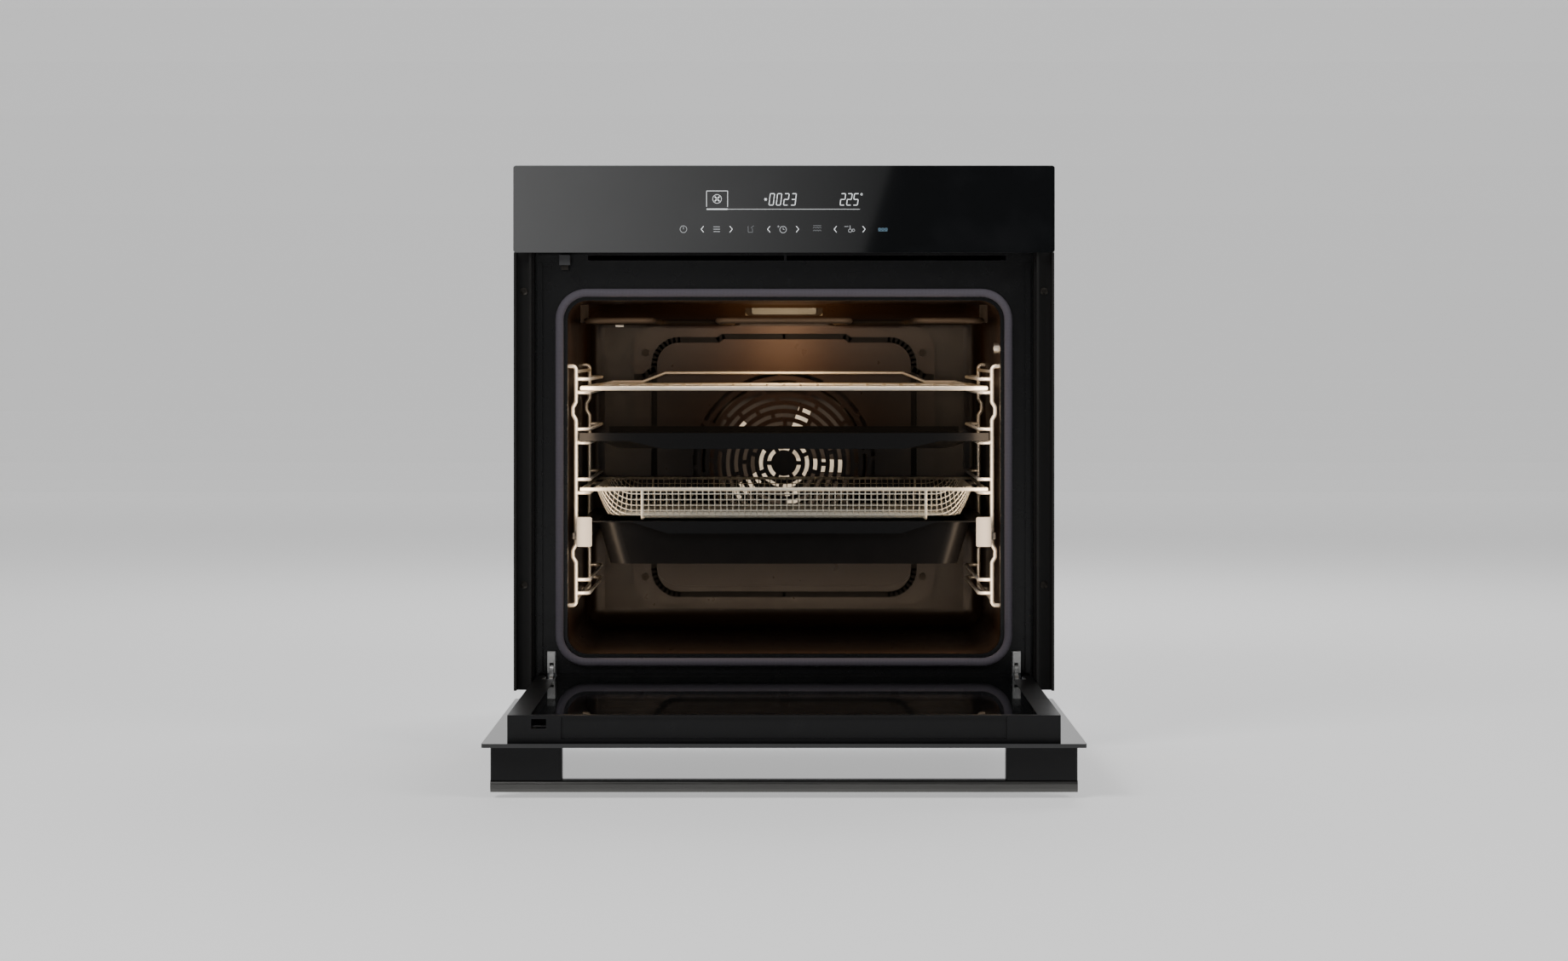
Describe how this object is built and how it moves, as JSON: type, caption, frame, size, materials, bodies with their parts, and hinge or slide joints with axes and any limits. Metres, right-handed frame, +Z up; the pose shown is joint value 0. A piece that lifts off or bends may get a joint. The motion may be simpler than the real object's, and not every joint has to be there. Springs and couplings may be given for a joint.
{
  "type": "wall oven",
  "caption": "Built-in wall oven with an open drop-down glass door, side racks, wire shelf, baking tray, fry basket and a deep pan on telescopic runners.",
  "frame": {"origin": "middle of the niche's front bottom edge: on the cabinet's face plane, at the underside of the base plate", "axes": "+X right seen from the front, +Y into the cabinet, +Z up"},
  "size_m": [0.595, 1.0275, 0.639],
  "materials": {
    "galvanised_sheet": "spangled zinc coating",
    "black_enamel": "gloss vitreous enamel",
    "trim_coat": "satin powder coat",
    "cavity_enamel": "brown-black speckled enamel",
    "gasket_knit": "knitted glass-fibre braid",
    "mineral_wool": "pressed mineral wool",
    "zinc_screw": "zinc-plated",
    "fan_metal": "bright rolled",
    "heater_tube": "heat-darkened alloy",
    "lamp_glass": "pressed heat-proof glass",
    "ceramic_white": "unglazed steatite",
    "rack_chrome": "bright nickel-chrome",
    "runner_steel": "satin stainless",
    "tray_enamel": "smooth gloss enamel",
    "basket_wire": "satin stainless wire",
    "panel_glass": "black-backed glass",
    "carrier_plastic": "fine grain",
    "board_green": "solder-masked laminate",
    "lock_plastic": "glass-filled nylon",
    "hinge_zinc": "bright zinc plate",
    "door_glass": "black printed glass",
    "clear_glass": "coated clear glass",
    "door_frame": "satin black moulding",
    "handle_metal": "dark anodised, brushed lengthwise",
    "handle_block": "satin black"
  },
  "bodies": {
    "housing": {"base_plate": "galvanised_sheet", "side_panels": "galvanised_sheet", "top_cover": "galvanised_sheet", "rear_cover": "galvanised_sheet", "front_frame": "black_enamel", "side_trims": "trim_coat", "cavity": "cavity_enamel", "door_gasket": "gasket_knit", "insulation": "mineral_wool", "fan_cover": "cavity_enamel", "fan_cover_screws": "zinc_screw", "ring_heater": "heater_tube", "grill_element": "heater_tube", "floor_heater": "heater_tube", "motor_strap": "galvanised_sheet", "fan_motor": "galvanised_sheet", "lamp_lens": "lamp_glass", "lamp_frame": "heater_tube", "lamp_holder": "galvanised_sheet", "lamp_bulb": "ceramic_white", "temperature_sensor": "hinge_zinc", "probe_socket": "hinge_zinc", "right_rack": "rack_chrome", "left_rack": "rack_chrome", "runner_rails": "runner_steel", "air_duct": "galvanised_sheet", "blower_housing": "galvanised_sheet", "blower_motor": "galvanised_sheet", "panel_glass": "panel_glass", "panel_carrier": "carrier_plastic", "display_board": "board_green", "power_board": "board_green", "terminal_box": "carrier_plastic", "door_lock": "lock_plastic", "hinge_brackets": "galvanised_sheet", "hinge_arms": "hinge_zinc"},
    "door": {"outer_glass": "door_glass", "middle_glass": "clear_glass", "inner_glass": "clear_glass", "right_column": "door_frame", "left_column": "door_frame", "bottom_rail": "door_frame", "top_trim": "door_frame", "hinge_cases": "galvanised_sheet", "hinge_springs": "galvanised_sheet", "handle_bar": "handle_metal", "handle_mounts": "handle_block", "handle_screws": "zinc_screw"},
    "fan_wheel": {"fan_wheel": "fan_metal"},
    "blower_wheel": {"blower_wheel": "carrier_plastic"},
    "lock_bolt": {"lock_bolt": "hinge_zinc"},
    "right_latch": {"right_latch": "hinge_zinc"},
    "left_latch": {"left_latch": "hinge_zinc"},
    "wire_shelf": {"wire_shelf": "rack_chrome"},
    "baking_tray": {"baking_tray": "tray_enamel"},
    "fry_basket": {"basket_mesh": "basket_wire", "basket_frame": "basket_wire"},
    "pan_on_runners": {"roasting_pan": "tray_enamel", "runner_carriages": "runner_steel"},
    "runner_middles": {"runner_middles": "runner_steel"}
  },
  "joints": [
    {"name": "door_hinge", "type": "hinge", "parent": "housing", "child": "door", "pos_m": [0, 0.002, 0.024], "axis": [1, 0, 0], "range_deg": [-90, 0]},
    {"name": "shelf_slide", "type": "slide", "parent": "housing", "child": "wire_shelf", "axis": [0, -1, 0], "range_m": [0, 0.34]},
    {"name": "tray_slide", "type": "slide", "parent": "housing", "child": "baking_tray", "axis": [0, -1, 0], "range_m": [0, 0.34]},
    {"name": "basket_slide", "type": "slide", "parent": "housing", "child": "fry_basket", "axis": [0, -1, 0], "range_m": [0, 0.34]},
    {"name": "pan_slide", "type": "slide", "parent": "housing", "child": "pan_on_runners", "axis": [0, -1, 0], "range_m": [0, 0.33]},
    {"name": "runner_middle_slide", "type": "slide", "parent": "housing", "child": "runner_middles", "axis": [0, -1, 0], "range_m": [0, 0.165]},
    {"name": "fan_spin", "type": "hinge", "parent": "housing", "child": "fan_wheel", "pos_m": [0, 0.42, 0.254], "axis": [0, 1, 0], "continuous": true},
    {"name": "blower_spin", "type": "hinge", "parent": "housing", "child": "blower_wheel", "pos_m": [0, 0.408, 0.49], "axis": [0, 0, 1], "continuous": true},
    {"name": "bolt_slide", "type": "slide", "parent": "housing", "child": "lock_bolt", "axis": [0, 0, -1], "range_m": [0, 0.008]},
    {"name": "right_latch_turn", "type": "hinge", "parent": "housing", "child": "right_latch", "pos_m": [0.2575, 0.012, 0.038], "axis": [1, 0, 0], "range_deg": [0, 80]},
    {"name": "left_latch_turn", "type": "hinge", "parent": "housing", "child": "left_latch", "pos_m": [-0.2575, 0.012, 0.038], "axis": [1, 0, 0], "range_deg": [0, 80]}
  ],
  "couplings": [
    {"joint": "runner_middle_slide", "follows": "pan_slide", "ratio": 0.5}
  ]
}
